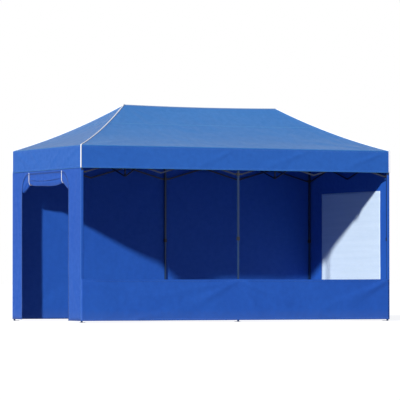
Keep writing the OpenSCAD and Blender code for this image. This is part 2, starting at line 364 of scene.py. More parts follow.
@dataclass(frozen=True)
class Webbing:
    """Woven tape or binding with a cross rib, painted shade in the rib's hollows and a slightly
    soiled face.
    """

    name: str
    colour: Colour
    soil: Colour
    rib: float = 0.003
    solid: bool = False

    def make(self) -> bpy.types.Material:
        """Builds the material on the piece's own UV map, or through its volume."""
        r = Recipe(self.name)
        flat = r.coordinates.outputs["Object" if self.solid else "UV"]
        weave = r.weave(flat, self.rib, self.rib * 0.7, "DIAGONAL")
        patchy = r.noise(flat, 24.0, 4.0)
        colour = r.blend(r.spread(patchy, 0.0, 0.22), self.colour, self.soil)
        # Painted shade: the rib's hollows, where its bump is low, are darkened towards the soil
        # colour; the patchy soil above is real.
        colour = r.blend(r.spread(weave, 0.18, 0.0, (0.1, 0.7)), colour, self.soil)
        normal = r.bump(weave, 0.5, 0.0005)
        return r.finish(colour, r.spread(patchy, 0.6, 0.78), normal, IOR=1.4)


@dataclass(frozen=True)
class CoatedSteel:
    """Powder coated steel tube with plastic ends between given heights."""

    name: str
    colour: Colour
    worn: Colour
    plastic: Colour = (0.0, 0.0, 0.0)
    caps: tuple[tuple[float, float], ...] = ()

    def make(self) -> bpy.types.Material:
        """Builds the material on Object coordinates."""
        r = Recipe(self.name)
        solid = r.coordinates.outputs["Object"]
        peel = r.noise(solid, 420.0, 2.0)
        patchy = r.noise(solid, 9.0, 4.0, 0.6)
        runs = r.streaks(solid, (240.0, 240.0, 5.0), 3.0)
        colour = r.blend(r.spread(patchy, 0.0, 0.35), self.colour, self.worn)
        colour = r.blend(r.spread(runs, 0.0, 0.6, (0.58, 0.74)), colour, self.worn)
        rough = r.spread(runs, 0.34, 0.5)
        if self.caps:
            height, inside = r.height(solid), None
            for low, high in self.caps:
                above = r.math("GREATER_THAN", height, low)
                band = r.math("MULTIPLY", above, r.math("LESS_THAN", height, high))
                inside = band if inside is None else r.math("MAXIMUM", inside, band)
            colour = r.blend(inside, colour, self.plastic)
            rough = r.math("ADD", rough, r.math("MULTIPLY", inside, 0.16))
        normal = r.bump(peel, 0.18, 0.0004)
        return r.finish(colour, rough, normal, IOR=1.42)


@dataclass(frozen=True)
class MouldedPlastic:
    """Glass filled nylon with a fine spark finish."""

    name: str
    colour: Colour
    scuffed: Colour

    def make(self) -> bpy.types.Material:
        """Builds the material on Object coordinates."""
        r = Recipe(self.name)
        solid = r.coordinates.outputs["Object"]
        spark = r.noise(solid, 900.0, 2.0, 0.7)
        patchy = r.noise(solid, 30.0, 4.0, 0.6)
        colour = r.blend(r.spread(patchy, 0.0, 0.4), self.colour, self.scuffed)
        normal = r.bump(spark, 0.3, 0.0003)
        return r.finish(colour, r.spread(spark, 0.42, 0.6), normal, IOR=1.45)


@dataclass(frozen=True)
class NetCloth:
    """Fine white insect net: yarns with small dark meshes between them."""

    name: str
    colour: Colour
    mesh: Colour
    pitch: float = 0.004

    def make(self) -> bpy.types.Material:
        """Builds the material on the piece's own UV map, in metres."""
        r = Recipe(self.name)
        flat = r.coordinates.outputs["UV"]
        across = r.bands(flat, self.pitch, "X")
        down = r.bands(flat, self.pitch, "Y")
        yarn = r.math("MAXIMUM", across, down)
        slack = r.streaks(flat, (0.6, 14.0, 1.0), 3.0)
        colour = r.blend(r.spread(yarn, 0.30, 0.0, (0.35, 0.75)), self.colour, self.mesh)
        colour = r.blend(r.spread(slack, 0.0, 0.16), colour, self.mesh)
        normal = r.bump(yarn, 0.4, 0.0004, r.bump(slack, 0.3, 0.006))
        return r.finish(colour, r.spread(slack, 0.6, 0.75), normal, IOR=1.35)


class Finish(Enum):
    """Every finish of the gazebo."""

    # Painted light: the roof is the cover's own cloth, given a paler colour than COVER as painted
    # sky light on its upward slopes.
    ROOF = CoatedCloth("satin_roof_cloth", (0.038, 0.212, 0.570), (0.056, 0.252, 0.625), veil=0.70)
    COVER = CoatedCloth("satin_cover_cloth", (0.018, 0.128, 0.510), (0.028, 0.158, 0.560))
    # Painted highlight: the cross seams, the ridge and the valance edge are the cover's own cloth,
    # given a lighter colour than COVER as a painted highlight.
    TRIM = CoatedCloth("satin_cover_trim", (0.065, 0.270, 0.600), (0.085, 0.300, 0.640))
    WALL = CoatedCloth("satin_wall_cloth", (0.011, 0.096, 0.480), (0.016, 0.118, 0.525), dust=0.08)
    # Painted highlight: hems, bound edges and the window border are the wall's own cloth, given a
    # lighter colour than WALL as a painted highlight; the dust at the foot is real.
    HEM = CoatedCloth("satin_wall_hem", (0.040, 0.175, 0.560), (0.055, 0.200, 0.600), dust=0.08)
    BINDING = Webbing("white_binding", (0.97, 0.98, 0.99), (0.92, 0.94, 0.96))
    STRAP = Webbing("blue_webbing", (0.03, 0.12, 0.42), (0.01, 0.05, 0.22))
    TAB = Webbing("eave_tab_webbing", (0.03, 0.12, 0.42), (0.01, 0.05, 0.22), 0.004, solid=True)
    ZIP_TAPE = Webbing("zip_tape", (0.010, 0.060, 0.300), (0.004, 0.030, 0.180), 0.002)
    THREAD = Webbing("sewing_thread", (0.16, 0.32, 0.62), (0.08, 0.18, 0.45), 0.0012)
    # The frame's dark tone is its own; its blue tint is painted reflection of the blue cloth and
    # painted shade.
    LEG = CoatedSteel(
        "powder_coated_leg",
        (0.008, 0.024, 0.075),
        (0.018, 0.042, 0.110),
        (0.010, 0.011, 0.014),
        ((1.4095, 1.4705), (2.9295, 3.1)),
    )
    # Painted shade: the bars are darker than the legs as shade under the roof.
    BAR = CoatedSteel("powder_coated_bar", (0.005, 0.010, 0.032), (0.010, 0.020, 0.055))
    INNER = CoatedSteel(
        "inner_tube_steel",
        (0.010, 0.036, 0.105),
        (0.022, 0.060, 0.150),
        (0.012, 0.014, 0.022),
        ((0.0086, 0.012),),
    )
    FITTING = MouldedPlastic("moulded_fitting", (0.010, 0.011, 0.015), (0.028, 0.031, 0.040))
    ZIP_TEETH = MouldedPlastic("zip_teeth", (0.020, 0.070, 0.260), (0.035, 0.100, 0.320))
    NET = NetCloth("window_net", (0.70, 0.84, 0.98), (0.34, 0.48, 0.66))

    @property
    def material(self) -> bpy.types.Material:
        """The material, built the first time it is asked for."""
        return bpy.data.materials.get(self.value.name) or self.value.make()


# ---- mesh tools -----------------------------------------------------------


def add_object(name: str, data: bpy.types.ID) -> Piece:
    """Makes an object of a mesh, camera or light and links it to the scene."""
    piece = bpy.data.objects.new(name, data)
    bpy.context.scene.collection.objects.link(piece)
    return piece


def write_uv(mesh: bpy.types.Mesh, uv: Points) -> None:
    """Writes the cloth's UV map from one place, in metres, for each vertex."""
    layer = mesh.uv_layers.get(UV_NAME) or mesh.uv_layers.new(name=UV_NAME)
    corners = np.zeros(len(mesh.loops), np.int32)
    mesh.loops.foreach_get("vertex_index", corners)
    layer.data.foreach_set("uv", uv[corners].astype(np.float32).ravel())


def grid_faces(rows: int, columns: int, closed: bool = False) -> Points:
    """Lists the quads of a grid of points.

    Args:
        rows: points down the grid.
        columns: points across it.
        closed: True where the last column meets the first.

    Returns:
        One row of four indices for each quad.
    """
    first = np.arange(rows - 1)[:, None] * columns
    across = np.arange(columns if closed else columns - 1)[None, :]
    step = (across + 1) % columns
    quads = [first + across, first + step, first + columns + step, first + columns + across]
    return np.stack([q.ravel() for q in quads], axis=1)


def make_piece(
    name: str, points: Points, faces: Sequence[Sequence[int]], uv: Points, finish: Finish
) -> Piece:
    """Makes a smooth welded mesh with the cloth's own UV map.

    Args:
        name: the piece's name.
        points: the corners, one row of three each.
        faces: the corners of each face.
        uv: the place of each corner on the cloth, in metres.
        finish: the piece's finish.

    Returns:
        The new object.
    """
    mesh = bpy.data.meshes.new(name)
    mesh.from_pydata([tuple(p) for p in points], [], [tuple(map(int, f)) for f in faces])
    write_uv(mesh, uv)
    work = bmesh.new()
    work.from_mesh(mesh)
    bmesh.ops.remove_doubles(work, verts=work.verts, dist=1e-6)
    for face in work.faces:
        face.smooth = True
    work.to_mesh(mesh)
    work.free()
    mesh.materials.append(finish.material)
    return add_object(name, mesh)


def cloth_sheet(
    name: str,
    points: Points,
    uv: Points,
    outward: Vector,
    finish: Finish,
    closed: bool = False,
    thickness: float = CLOTH,
) -> Piece:
    """Makes one thin sheet from a grid, with its good side outwards.

    Args:
        name: the piece's name.
        points: rows by columns by three.
        uv: rows by columns by two, in metres.
        outward: the way the good side faces.
        finish: the cloth.
        closed: True where the last column meets the first.
        thickness: how far the cloth grows inwards.

    Returns:
        The new object, with its Solidify modifier.
    """
    rows, columns = points.shape[:2]
    faces = grid_faces(rows, columns, closed)
    flat = points.reshape(-1, 3)
    a, b, d = (flat[faces[:, i]] for i in (0, 1, 3))
    if (np.cross(b - a, d - a).sum(0) @ np.array(outward)) < 0:
        faces = faces[:, ::-1]
    piece = make_piece(name, flat, faces, uv.reshape(-1, 2), finish)
    solid = piece.modifiers.new("thickness", "SOLIDIFY")
    solid.thickness, solid.offset, solid.use_rim = thickness, -1.0, True
    return piece


def lines_of(path: Points, up: Way) -> tuple[Points, Points]:
    """Finds the directions across and out of a path.

    Args:
        path: the path's points.
        up: the way out of the surface, one for all or one for each point.

    Returns:
        Unit vectors across the path and out of it, at each point.
    """
    tangent = np.gradient(path, axis=0)
    tangent /= np.linalg.norm(tangent, axis=1, keepdims=True)
    across = np.cross(tangent, np.broadcast_to(up, path.shape))
    across /= np.linalg.norm(across, axis=1, keepdims=True)
    return across, np.cross(across, tangent)


def sweep(
    name: str,
    path: Points,
    up: Way,
    section: Points,
    finish: Finish,
    closed: bool = False,
) -> Piece:
    """Sweeps a closed section along a path.

    Args:
        name: the piece's name.
        path: the path's points.
        up: the way out of the surface under the path.
        section: outline points, across and out, in metres.
        finish: the piece's finish.
        closed: True where the path meets its own start.

    Returns:
        The new closed mesh.
    """
    if closed:
        wide = np.concatenate([path[-1:], path, path[:1]])
        across, out = (v[1:-1] for v in lines_of(wide, up))
    else:
        across, out = lines_of(path, up)
    count, around = len(path), len(section)
    points = (
        path[:, None]
        + across[:, None] * section[None, :, :1]
        + out[:, None] * section[None, :, 1:]
    )
    length = np.concatenate([[0.0], np.cumsum(np.linalg.norm(np.diff(path, axis=0), axis=1))])
    girth = np.concatenate([[0.0], np.cumsum(np.linalg.norm(np.diff(section, axis=0), axis=1))])
    uv = join(length[:, None], girth[None, :])
    faces = [list(f) for f in grid_faces(count, around, True)]
    if closed:
        last = (count - 1) * around
        for i in range(around):
            j = (i + 1) % around
            faces.append([last + i, last + j, j, i])
    else:
        faces.append(list(range(around))[::-1])
        faces.append(list(range((count - 1) * around, count * around)))
    flat = points.reshape(-1, 3)
    away = flat - flat[0]
    volume = sum(
        float(np.dot(away[f[0]], np.cross(away[f[i]], away[f[i + 1]])))
        for f in faces
        for i in range(1, len(f) - 1)
    )
    if volume < 0:
        faces = [f[::-1] for f in faces]
    return make_piece(name, flat, faces, uv.reshape(-1, 2), finish)


def round_section(radius: float, sides: int = 10) -> Points:
    """Outline of a round cord."""
    turn = np.linspace(0, 2 * math.pi, sides, endpoint=False)
    return join(radius * np.cos(turn), radius * np.sin(turn))


def tape_section(width: float, thickness: float) -> Points:
    """Outline of a flat tape with eased edges, its back on the surface."""
    w, e = width / 2, thickness * 0.6
    return np.array(
        [
            (-w, 0.0),
            (w, 0.0),
            (w, thickness * 0.4),
            (w - e, thickness),
            (0.0, thickness * 1.04),
            (e - w, thickness),
            (-w, thickness * 0.4),
        ]
    )


def stations(low: float, high: float, step: float, extra: Sequence[float] = ()) -> Points:
    """Even places from low to high with some more put in.

    Args:
        low: the first place.
        high: the last place.
        step: about how far apart they are.
        extra: places to add, such as both sides of a hem line.

    Returns:
        The places in order.
    """
    even = np.linspace(low, high, max(2, round((high - low) / step) + 1))
    keep = [v for v in even[1:-1] if all(abs(v - e) > 0.3 * step for e in extra)]
    inside = [e for e in extra if low < e < high]
    return np.array(sorted([low, high, *keep, *inside]))


@dataclass(frozen=True)
class Crease:
    """A soft ridge that tension pulls into cloth, fading and widening to its end."""

    start: tuple[float, float]
    end: tuple[float, float]
    width: float
    height: float
    narrow: float = 0.45
    widening: float = 0.9
    fading: float = 0.55

    def relief(self, u: Points, v: Points) -> Points:
        """Height of the ridge at places on the cloth.

        Args:
            u: places across the cloth.
            v: places up the cloth.

        Returns:
            The heights in metres.
        """
        du, dv = self.end[0] - self.start[0], self.end[1] - self.start[1]
        length = math.hypot(du, dv)
        along = ((u - self.start[0]) * du + (v - self.start[1]) * dv) / length**2
        across = ((u - self.start[0]) * dv - (v - self.start[1]) * du) / length
        t = np.clip(along, 0, 1)
        away = np.hypot(across, (along - t) * length)
        width = self.width * (self.narrow + self.widening * t)
        return self.height * np.exp(-((away / width) ** 2)) * (1 - self.fading * t)


def crease_rows(*rows: tuple[float, ...]) -> tuple[Crease, ...]:
    """Makes creases from rows of a start, an end, a width and a height."""
    return tuple(Crease(row[:2], row[2:4], *row[4:]) for row in rows)


def ripple(u: Points, v: Points, length: float, seed: int, stretch: float = 1.0) -> Points:
    """Smooth uneven waves over a cloth, about -1 to 1.

    Args:
        u: places across the cloth.
        v: places up the cloth.
        length: usual distance between crests.
        seed: fixed seed of the waves.
        stretch: how much longer the waves are upwards.

    Returns:
        The wave at each place.
    """
    random = np.random.default_rng(seed)
    total = np.zeros(np.broadcast(u, v).shape)
    for _ in range(7):
        turn, size, phase = random.uniform((0, 0.6, 0), (math.pi, 1.7, 2 * math.pi))
        k = 2 * math.pi / (length * size)
        total += np.sin(k * (u * math.cos(turn) + v * math.sin(turn) / stretch) + phase)
    return total / 4.0


class RowPart(Enum):
    """Small parts that repeat along a seam."""

    STITCH = "stitch"
    ZIP_TOOTH = "zip_tooth"


@dataclass(frozen=True)
class Row:
    """Small parts set at even steps along a line by Geometry Nodes."""

    part: RowPart
    finish: Finish
    step: float
    size: tuple[float, float, float]

    def tree(self) -> bpy.types.NodeTree:
        """Builds the row's node group, or finds it.

        Returns:
            The node group, which ends in plain geometry with its material.
        """
        name = f"{self.part.value}_row_{self.finish.name.lower()}"
        if name in bpy.data.node_groups:
            return bpy.data.node_groups[name]
        group = bpy.data.node_groups.new(name, "GeometryNodeTree")
        for word, way, kind in (
            ("Geometry", "OUTPUT", "Geometry"),
            ("Geometry", "INPUT", "Geometry"),
            ("Step", "INPUT", "Float"),
            ("Size", "INPUT", "Vector"),
            ("Out", "INPUT", "Vector"),
        ):
            group.interface.new_socket(word, in_out=way, socket_type=f"NodeSocket{kind}")
        nodes, links = group.nodes, group.links
        given, result = nodes.new("NodeGroupInput"), nodes.new("NodeGroupOutput")
        curve = nodes.new("GeometryNodeMeshToCurve")
        resample = nodes.new("GeometryNodeResampleCurve")
        resample.mode = "LENGTH"
        tangent = nodes.new("GeometryNodeInputTangent")
        turn, lean = (nodes.new("FunctionNodeAlignRotationToVector") for _ in range(2))
        turn.axis, lean.axis, lean.pivot_axis = "X", "Z", "X"
        if self.part is RowPart.STITCH:
            shape = nodes.new("GeometryNodeMeshIcoSphere")
            shape.inputs["Radius"].default_value = 0.5
            shape.inputs["Subdivisions"].default_value = 1
        else:
            shape = nodes.new("GeometryNodeMeshCube")
        put = nodes.new("GeometryNodeInstanceOnPoints")
        real = nodes.new("GeometryNodeRealizeInstances")
        dress = nodes.new("GeometryNodeSetMaterial")
        dress.inputs["Material"].default_value = self.finish.material
        for source, target in (
            (given.outputs["Geometry"], curve.inputs["Mesh"]),
            (curve.outputs["Curve"], resample.inputs["Curve"]),
            (given.outputs["Step"], resample.inputs["Length"]),
            (resample.outputs["Curve"], put.inputs["Points"]),
            (shape.outputs["Mesh"], put.inputs["Instance"]),
            (tangent.outputs[0], turn.inputs["Vector"]),
            (turn.outputs["Rotation"], lean.inputs["Rotation"]),
            (given.outputs["Out"], lean.inputs["Vector"]),
            (lean.outputs["Rotation"], put.inputs["Rotation"]),
            (given.outputs["Size"], put.inputs["Scale"]),
            (put.outputs["Instances"], real.inputs["Geometry"]),
            (real.outputs["Geometry"], dress.inputs["Geometry"]),
            (dress.outputs["Geometry"], result.inputs["Geometry"]),
        ):
            links.new(source, target)
        return group

    def along(self, name: str, paths: Sequence[Points], out: Vector) -> Piece:
        """Sets the parts along one or more lines.

        Args:
            name: the new piece's name.
            paths: the lines, on the surface.
            out: the way out of the surface.

        Returns:
            One plain mesh of all the parts.
        """
        points, edges = [], []
        for path in paths:
            edges += [(len(points) + i, len(points) + i + 1) for i in range(len(path) - 1)]
            points += [tuple(p) for p in path]
        mesh = bpy.data.meshes.new(name)
        mesh.from_pydata(points, edges, [])
        piece = add_object(name, mesh)
        modifier = piece.modifiers.new("row", "NODES")
        modifier.node_group = self.tree()
        values = {"Step": self.step, "Size": self.size, "Out": tuple(out)}
        for item in modifier.node_group.interface.items_tree:
            if item.in_out == "INPUT" and item.name in values:
                modifier[item.identifier] = values[item.name]
        graph = bpy.context.evaluated_depsgraph_get()
        plain = bpy.data.meshes.new_from_object(piece.evaluated_get(graph), depsgraph=graph)
        piece.modifiers.clear()
        piece.data = plain
        plain.name = name
        places = np.zeros(len(plain.vertices) * 3, np.float32)
        plain.vertices.foreach_get("co", places)
        x, y, z = places.reshape(-1, 3).T
        write_uv(plain, join(x + y, z))
        return piece


SEAM_STITCH = Row(RowPart.STITCH, Finish.THREAD, 0.012, (0.0085, 0.0018, 0.0014))
ZIP_TOOTH = Row(RowPart.ZIP_TOOTH, Finish.ZIP_TEETH, 0.006, (0.0034, 0.0075, 0.0022))


# ---- roof cover -----------------------------------------------------------


@dataclass
class RoofCover:
    """Hip roof cover: four curved slopes, their seams and the valance."""

    sizes: Sizes
    slack: float = 0.323
    ridge_sag: float = 0.018
    billow: float = 0.010
    lip: float = 0.012
    seam_share: float = 0.630
    seam_width: float = 0.022
    piping_radius: float = 0.0120
    hem: float = 0.030
    hip_calm: float = 0.12
    ridge_calm: float = 0.08
    eave_calm: float = 0.1
    broad_wave: float = 0.0022
    fine_wave: float = 0.0012

    def tab_body(self, side: Side) -> str:
        """The body that carries a slope: the tab at that eave."""
        return f"{side.word}_eave_tab"

    def valance_body(self, side: Side) -> str:
        """The body that carries a valance: the leg in the middle or at the front."""
        bodies = {
            Side.FRONT: "front_mid_post_and_cover",
            Side.BACK: "back_mid_outer_leg",
            Side.LEFT: "front_left_outer_leg",
            Side.RIGHT: "front_right_outer_leg",
        }
        return bodies[side]

    def carrier(self, side: Side, body: str) -> Carrier:
        """The carrier of a cover piece on that side, riding on a body."""
        return Carrier(body, side, -self.sizes.half_y)

    def creases(self, side: Side) -> tuple[Crease, ...]:
        """Tension creases of one slope, in metres along the eave and up the slope."""
        ridge, half = self.sizes.ridge_half, self.sizes.half_length(side)
        up = self.slope_length(side)
        if not side.long:
            return crease_rows(
                (0.0, up, -half * 0.62, 0.10, 0.050, 0.0045),
                (0.0, up, half * 0.55, 0.12, 0.055, 0.0040),
                (0.0, up, 0.12, 0.1, 0.045, 0.0028),
                (-half, 0.0, -0.20, 0.62, 0.060, 0.0045),
                (half, 0.0, 0.25, 0.55, 0.060, 0.0045),
            )
        return crease_rows(
            (-ridge, up, -half * 0.80, 0.12, 0.060, 0.0055),
            (ridge, up, half * 0.80, 0.12, 0.060, 0.0055),
            (-ridge, up, -1.05, 0.1, 0.070, 0.0040),
            (ridge, up, 1.25, 0.1, 0.070, 0.0040),
            (-ridge, up, -0.25, 0.62, 0.060, 0.0030),
            (ridge, up, 0.35, 0.70, 0.060, 0.0030),
            (-half, 0.0, -1.30, 0.52, 0.070, 0.0050),
            (half, 0.0, 1.45, 0.50, 0.070, 0.0050),
            (0.0, 0.0, -0.95, 0.50, 0.060, 0.0035),
            (0.0, 0.0, 0.80, 0.45, 0.060, 0.0035),
        )

    def slope_length(self, side: Side) -> float:
        """Length of a slope from eave to ridge, down its middle."""
        run = self.sizes.half_y if side.long else self.sizes.half_x - self.sizes.ridge_half
        s = np.linspace(0, 1, 60)
        z = self.height(s)
        return float(np.hypot(np.diff(s) * run, np.diff(z)).sum())

    def height(self, s: Points) -> Points:
        """Height of the cloth at a share of the way up the slope."""
        rise = self.sizes.ridge - self.sizes.eave
        return self.sizes.eave + rise * s * (1 - self.slack * (1 - s))

    def surface(self, side: Side, s: Points, t: Points) -> tuple[Points, Points]:
        """Points of a slope.

        Args:
            side: the side the slope falls to.
            s: share of the way from eave to ridge.
            t: share of the way from the middle to either hip, -1 to 1.

        Returns:
            The points, and their places on the cloth.
        """
        s, t = np.broadcast_arrays(s, t)
        size = self.sizes
        run_x = size.half_x - size.ridge_half
        half = size.half_x - run_x * s if side.long else size.half_y * (1 - s)
        out = size.half_y * (1 - s) if side.long else size.half_x - run_x * s
        along, up = t * half, s * self.slope_length(side)
        edge = np.clip((1 - np.abs(t)) / self.hip_calm, 0, 1)
        edge = edge * np.clip((1 - s) / self.ridge_calm, 0, 1)
        edge = edge * np.clip((s - 0.012) / self.eave_calm, 0, 1)
        z = self.height(s)
        if side.long:
            inside = np.clip(1 - (along / size.ridge_half) ** 2, 0, 1)
            z = z - self.ridge_sag * inside * s**1.5
            bay = np.abs(np.sin(math.pi * along / size.leg_x))
            z = z - self.billow * bay * np.sin(math.pi * s) * edge
        else:
            z = z - self.billow * np.cos(t * math.pi / 2) * np.sin(math.pi * s) * edge
        relief = sum(c.relief(along, up) for c in self.creases(side))
        seed = 3 + 2 * list(Side).index(side)
        relief = relief + self.broad_wave * ripple(along, up, 0.5, seed)
        relief = relief + self.fine_wave * ripple(along, up, 0.16, seed + 1)
        z = z + edge * relief
        return side.place(along, out, z), join(along, up)

    def slope(self, side: Side) -> Piece:
        """Makes one slope, with the lip that turns down over the valance.

        Args:
            side: the side the slope falls to.

        Returns:
            The new sheet.
        """
        t = stations(-1, 1, 1 / 84 if side.long else 1 / 46)
        s = stations(0.006, 1.0, 1 / 62)
        points, uv = self.surface(side, s[:, None], t[None, :])
        size, out = self.sizes, self.sizes.cover_out(side)
        rows, places = [], []
        for inset, drop in ((0.0, self.lip), (0.0, 0.006), (0.0007, 0.0028), (0.0028, 0.0004)):
            half = size.half_length(side) - inset
            rows.append(side.place(t * half, out - inset, size.eave - drop))
            places.append(join(t * half, -drop))
        points = np.concatenate([np.array(rows), points])
        uv = np.concatenate([np.array(places), uv])
        outward = side.outward + Vector((0, 0, 2))
        piece = cloth_sheet(f"roof_{side.word}", points, uv, outward, Finish.ROOF)
        half = size.half_length(side)
        length = self.slope_length(side)
        return piece

    def surface_line(self, side: Side, s: Points, t: Points, lift: float) -> Points:
        """A line on a slope, lifted a little off the cloth."""
        return self.surface(side, s, t)[0] + np.array([0, 0, lift])

    def slope_trim(self, side: Side) -> list[Piece]:
        """Makes the cross seam and the stitching of a slope.

        Args:
            side: the side the slope falls to.

        Returns:
            The new pieces.
        """
        up = side.outward + Vector((0, 0, 2))
        t = np.linspace(-0.998, 0.998, 150 if side.long else 80)
        line = self.surface_line(side, self.seam_share, t, -0.0002)
        section = tape_section(self.seam_width, 0.0012)
        seam = sweep(f"roof_{side.word}_cross_seam", line, up, section, Finish.TRIM)
        run = self.slope_length(side)
        lines = [
            self.surface_line(side, self.seam_share + d / run, t, 0.0014)
            for d in (-0.0085, 0.0085)
        ]
        lines.append(self.surface_line(side, 0.026 / run, t * 0.995, 0.0007))
        share = np.linspace(0.02, 0.985, 90)
        far = self.sizes.ridge_half if side.long else 0.0
        half = self.sizes.half_length(side)
        inset = np.clip(1 - 0.022 / np.maximum(half - (half - far) * share, 0.03), 0, 1)
        for end in (-1, 1):
            lines.append(self.surface_line(side, share, end * inset, 0.0007))
        stitches = SEAM_STITCH.along(f"roof_{side.word}_stitches", lines, up)
        return [seam, stitches]

    def pipe(self, word: str, side: Side, end: int, path: Points, up: Way) -> Piece:
        """Makes a length of white piping.

        Args:
            word: hip or corner.
            side: FRONT or BACK.
            end: -1 at the left, 1 at the right.
            path: the piping's middle line.
            up: the way out of the cloth under it.

        Returns:
            The new piece.
        """
        name = f"{word}_piping_{side.word}_{'left' if end < 0 else 'right'}"
        piece = sweep(name, path, up, round_section(self.piping_radius), Finish.BINDING)
        return piece

    def hip(self, side: Side, end: int) -> Piece:
        """Makes the piping up one hip."""
        path = self.surface(side, np.linspace(0.0, 1.0, 70), float(end))[0]
        path[:, 2] += 0.0015
        path[0, 2] -= 0.004
        return self.pipe("hip", side, end, path, (end * 0.4, side.sign * 0.4, 1.0))

    def corner(self, side: Side, end: int) -> Piece:
        """Makes the piping down one corner of the valance."""
        size = self.sizes
        z = np.linspace(size.valance_low - 0.002, size.eave + 0.001, 24)
        path = side.place(end * (size.half_x - 0.002), size.half_y - 0.002, z)
        return self.pipe("corner", side, end, path, (float(end), float(side.sign), 0.0))

    def ridge(self) -> Piece:
        """Makes the sewn ridge, in the cover's own cloth painted lighter as a painted highlight."""
        t = np.linspace(-1, 1, 90)
        path = self.surface(Side.FRONT, 1.0, t)[0]
        path[:, 2] -= 0.0015
        piece = sweep("ridge_seam", path, (0.0, 0.0, 1.0), round_section(0.005, 8), Finish.TRIM)
        return piece

    def valance_relief(self, side: Side, along: Points, z: Points) -> Points:
        """How far the valance stands out of its plane."""
        size = self.sizes
        half = size.half_length(side)
        low, top = size.valance_low, size.eave
        seed = 41 + 3 * list(Side).index(side)
        down = np.clip((top - z) / (top - low), 0, 1)
        ends = np.clip((half - np.abs(along)) / 0.10, 0, 1)
        folds = crease_rows(
            (-half + 0.03, top, -half + 0.95, low + 0.04, 0.045, 0.010),
            (half - 0.03, top, half - 0.95, low + 0.05, 0.045, 0.010),
            (-half * 0.42, top - 0.03, -half * 0.08, low + 0.02, 0.040, 0.007),
            (half * 0.46, top - 0.03, half * 0.16, low + 0.04, 0.040, 0.007),
        )
        if side.long:
            folds += crease_rows(
                (0.0, top, -0.75, low + 0.06, 0.040, 0.007),
                (0.0, top, 0.80, low + 0.05, 0.040, 0.008),
                (1.05, top - 0.02, 1.85, low + 0.05, 0.036, 0.009),
                (1.55, top - 0.05, 2.30, low + 0.03, 0.034, 0.008),
                (-1.75, top - 0.02, -1.25, low + 0.03, 0.036, 0.007),
            )
        relief = sum(f.relief(along, z) for f in folds)
        wave = 0.006 * (1 + ripple(along, z * 0.3, 0.75, seed)) * down**1.4
        fine = 0.0012 * (1 + ripple(along, z, 0.16, seed + 1)) * down
        tuck = 0.0012 * np.clip(1 - down * 18, 0, 1)
        return ends * (relief * np.clip(down * 4, 0, 1) + wave + fine) - tuck

    def valance_points(self, side: Side, along: Points, z: Points, lift: float = 0.0) -> Points:
        """Points of the valance's outer face."""
        along, z = np.broadcast_arrays(along, z)
        out = self.sizes.cover_out(side) + self.valance_relief(side, along, z) + lift
        return side.place(along, out, z)

    def valance(self, side: Side) -> list[Piece]:
        """Makes one side of the valance with its hem and stitches.

        Args:
            side: the side it hangs on.

        Returns:
            The new pieces.
        """
        size = self.sizes
        half, low, high = size.half_length(side), size.valance_low, size.eave - 0.006
        along = stations(-half, half, 0.028)
        z = stations(low, high, 0.024, (low + self.hem, high - 0.012))
        points = self.valance_points(side, along[None, :], z[:, None])
        uv = join(along[None, :], z[:, None])
        name = f"valance_{side.word}"
        cloth = cloth_sheet(name, points, uv, side.outward, Finish.COVER)
        near = np.linspace(-half + 0.002, half - 0.002, 200 if side.long else 110)
        line = self.valance_points(side, near, low + self.hem / 2, -0.0003)
        section = tape_section(self.hem, 0.0011)
        hem = sweep(name + "_hem", line, side.outward, section, Finish.COVER)
        line = self.valance_points(side, near, low + 0.002)
        edge = sweep(name + "_edge", line, side.outward, round_section(0.0032, 8), Finish.TRIM)
        lines = [
            self.valance_points(side, near, place, lift)
            for place, lift in (
                (low + self.hem - 0.004, 0.0012),
                (high - 0.020, 0.0006),
                (high - 0.028, 0.0006),
            )
        ]
        stitches = SEAM_STITCH.along(name + "_stitches", lines, side.outward)
        return [cloth, hem, edge, stitches]

    def build(self) -> None:
        """Makes the whole cover and sets each piece on its body."""
        for side in Side:
            slope = self.slope(side)
            trim = self.slope_trim(side)
            hung = self.valance(side)
            if side.long:
                trim += [self.hip(side, end) for end in (-1, 1)]
                hung += [self.corner(side, end) for end in (-1, 1)]
            if side is Side.FRONT:
                trim.append(self.ridge())
            for piece in (slope, *trim):
                self.carrier(side, self.tab_body(side)).carry(piece)
            for piece in hung:
                self.carrier(side, self.valance_body(side)).carry(piece)
            for piece in (slope, hung[0]):
                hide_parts("canopy")


# ---- walls ----------------------------------------------------------------


